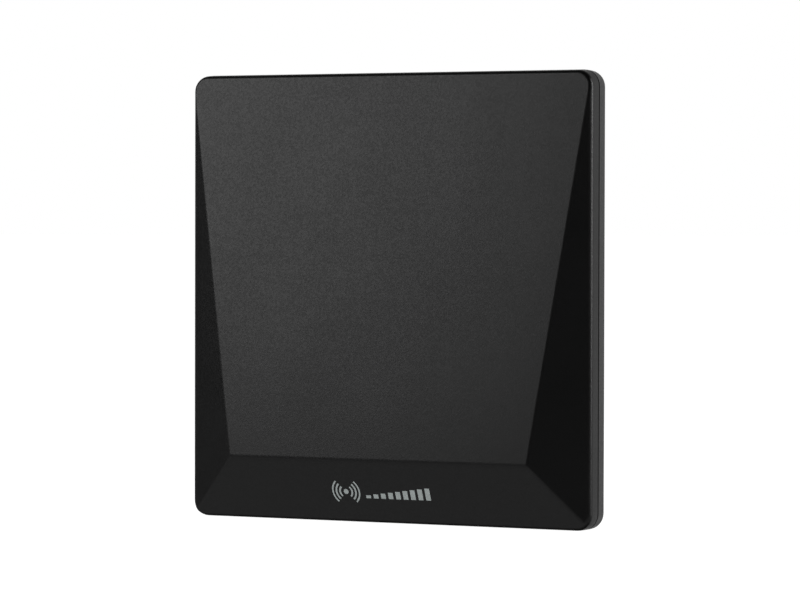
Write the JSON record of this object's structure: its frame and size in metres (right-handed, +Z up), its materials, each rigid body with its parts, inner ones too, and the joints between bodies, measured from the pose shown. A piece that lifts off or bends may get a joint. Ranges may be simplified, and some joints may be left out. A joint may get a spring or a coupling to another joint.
{
  "type": "cellular signal booster",
  "caption": "Flat square panel antenna unit with a faceted front, a built-in booster amplifier, a rear connector bay, wall keyholes and a fold-out stand leg.",
  "frame": {"origin": "bottom centre of the object's box", "axes": "+Z up, the faceted front faces -Y, +X to the right as seen from the front"},
  "size_m": [0.22, 0.0273, 0.22],
  "materials": {
    "shell_black": "matte",
    "leg_black": "matte",
    "gasket_black": "matte",
    "foot_rubber": "matte",
    "steel": "satin",
    "zinc": "satin",
    "nickel": "satin",
    "aluminium": "satin",
    "tinned_copper": "satin",
    "gold_contact": "polished",
    "circuit_board": "satin",
    "dielectric_white": "satin",
    "jack_black": "satin",
    "chip_black": "matte",
    "filter_ceramic": "satin",
    "cable_jacket": "satin",
    "label_paper": "matte"
  },
  "bodies": {
    "housing": {"amplifier_board": "circuit_board", "amplifier_chip": "chip_black", "antenna_board": "circuit_board", "antenna_screw_1": "zinc", "antenna_screw_2": "zinc", "antenna_screw_3": "zinc", "antenna_screw_4": "zinc", "band_filter": "filter_ceramic", "board_screw_1": "zinc", "board_screw_2": "zinc", "board_screw_3": "zinc", "f_jack_body": "nickel", "f_jack_contact": "gold_contact", "f_jack_insulator": "dielectric_white", "f_jack_nut": "nickel", "f_jack_washer": "nickel", "feed_cable": "cable_jacket", "feed_plug_amplifier": "gold_contact", "feed_plug_antenna": "gold_contact", "feed_strip": "tinned_copper", "front_cover": "shell_black", "housing_screw_1": "zinc", "housing_screw_2": "zinc", "housing_screw_3": "zinc", "housing_screw_4": "zinc", "housing_screw_5": "zinc", "housing_screw_6": "zinc", "leg_hinge_pin": "steel", "patch_element_lower": "tinned_copper", "patch_element_upper": "tinned_copper", "power_choke": "chip_black", "power_jack_body": "jack_black", "power_jack_nut": "nickel", "power_jack_pin": "nickel", "rating_label": "label_paper", "rear_cover": "shell_black", "reflector_plate": "aluminium", "reflector_screw_1": "zinc", "reflector_screw_2": "zinc", "reflector_screw_3": "zinc", "reflector_screw_4": "zinc", "seam_gasket": "gasket_black", "shield_can": "nickel", "voltage_regulator": "chip_black"},
    "stand": {"stand_leg": "leg_black", "leg_foot_pad": "foot_rubber"}
  },
  "joints": [
    {"name": "stand_hinge", "type": "hinge", "parent": "housing", "child": "stand", "pos_m": [0, 0.01135, 0.116], "axis": [1, 0, 0], "range_deg": [0, 40]}
  ]
}
